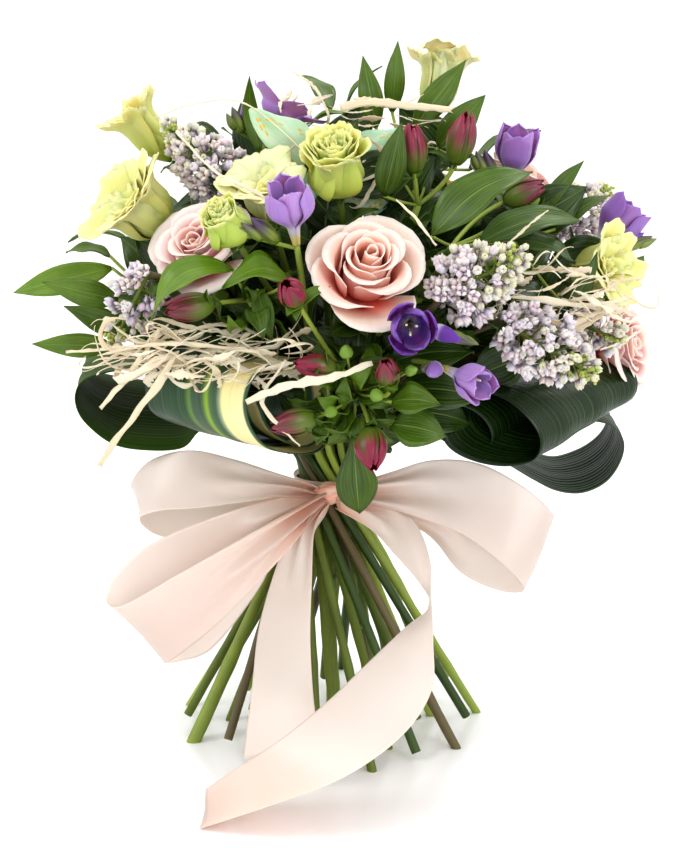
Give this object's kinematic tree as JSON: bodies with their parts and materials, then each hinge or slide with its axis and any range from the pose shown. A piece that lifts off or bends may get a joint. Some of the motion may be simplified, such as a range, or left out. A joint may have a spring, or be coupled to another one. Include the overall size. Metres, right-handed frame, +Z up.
{
  "type": "mixed flower bouquet",
  "caption": "Hand-tied mixed bouquet of roses, lisianthus, freesias, lilac and looped leaves, with a satin bow, standing on its spiralled stems.",
  "frame": {"origin": "centre of the cut foot of the upright middle stem, on the surface that the bouquet stands on, under the tie", "axes": "+Z up along the middle stem, -Y towards the front with the bow and the large rose, +X to the right seen from the front"},
  "size_m": [0.3774, 0.342, 0.4131],
  "materials": {
    "stem": "fresh green stem, satin",
    "rose_petals": "velvety peach-pink petals",
    "lisianthus_petals": "matt lemon-green petals",
    "freesia_spray": "satin violet petals, pale yellow tubes, green buds",
    "lilac_spray": "matt mauve-white florets on a brown twig",
    "alstroemeria_spray": "satin leaves with crimson and green buds",
    "foliage": "satin green leaves",
    "aspidistra_leaf": "glossy dark green leaf with fine veins",
    "straw": "matt dry straw",
    "butterfly": "sheer mint green wings with small yellow dots",
    "twine": "matt brown twine",
    "ribbon": "pale peach satin"
  },
  "bodies": {
    "root": {"rose_front": "rose_petals", "rose_left": "rose_petals", "rose_right": "rose_petals", "rose_top": "rose_petals", "rose_rear": "rose_petals", "rose_rear_left": "rose_petals", "rose_front_stem": "stem", "rose_left_stem": "stem", "rose_right_stem": "stem", "rose_top_stem": "stem", "rose_rear_stem": "stem", "rose_rear_left_stem": "stem", "lisianthus_stem_1": "stem", "lisianthus_stem_2": "stem", "lisianthus_stem_3": "stem", "lisianthus_stem_4": "stem", "lisianthus_stem_5": "stem", "lisianthus_left": "lisianthus_petals", "lisianthus_high_left": "lisianthus_petals", "lisianthus_middle": "lisianthus_petals", "lisianthus_small": "lisianthus_petals", "lisianthus_green": "lisianthus_petals", "lisianthus_top": "lisianthus_petals", "lisianthus_right": "lisianthus_petals", "lisianthus_rear": "lisianthus_petals", "lilac_high_left": "lilac_spray", "lilac_left": "lilac_spray", "lilac_middle": "lilac_spray", "lilac_right": "lilac_spray", "lilac_low": "lilac_spray", "lilac_back": "lilac_spray", "lilac_rear": "lilac_spray", "freesia_front": "freesia_spray", "freesia_high": "freesia_spray", "freesia_deep": "freesia_spray", "freesia_low": "freesia_spray", "freesia_upright": "freesia_spray", "freesia_right": "freesia_spray", "alstroemeria_left": "alstroemeria_spray", "alstroemeria_top": "alstroemeria_spray", "alstroemeria_right": "alstroemeria_spray", "alstroemeria_low": "alstroemeria_spray", "foliage_left": "foliage", "foliage_top": "foliage", "foliage_right": "foliage", "foliage_rear": "foliage", "aspidistra_variegated": "aspidistra_leaf", "aspidistra_left": "aspidistra_leaf", "aspidistra_right": "aspidistra_leaf", "aspidistra_right_back": "aspidistra_leaf", "aspidistra_rear": "aspidistra_leaf", "straw_left": "straw", "straw_right": "straw", "straw_top": "straw", "butterfly_pick": "butterfly", "binding_twine": "twine", "ribbon_bow": "ribbon", "ribbon_tail_left": "ribbon", "ribbon_tail_right": "ribbon"}
  },
  "joints": []
}
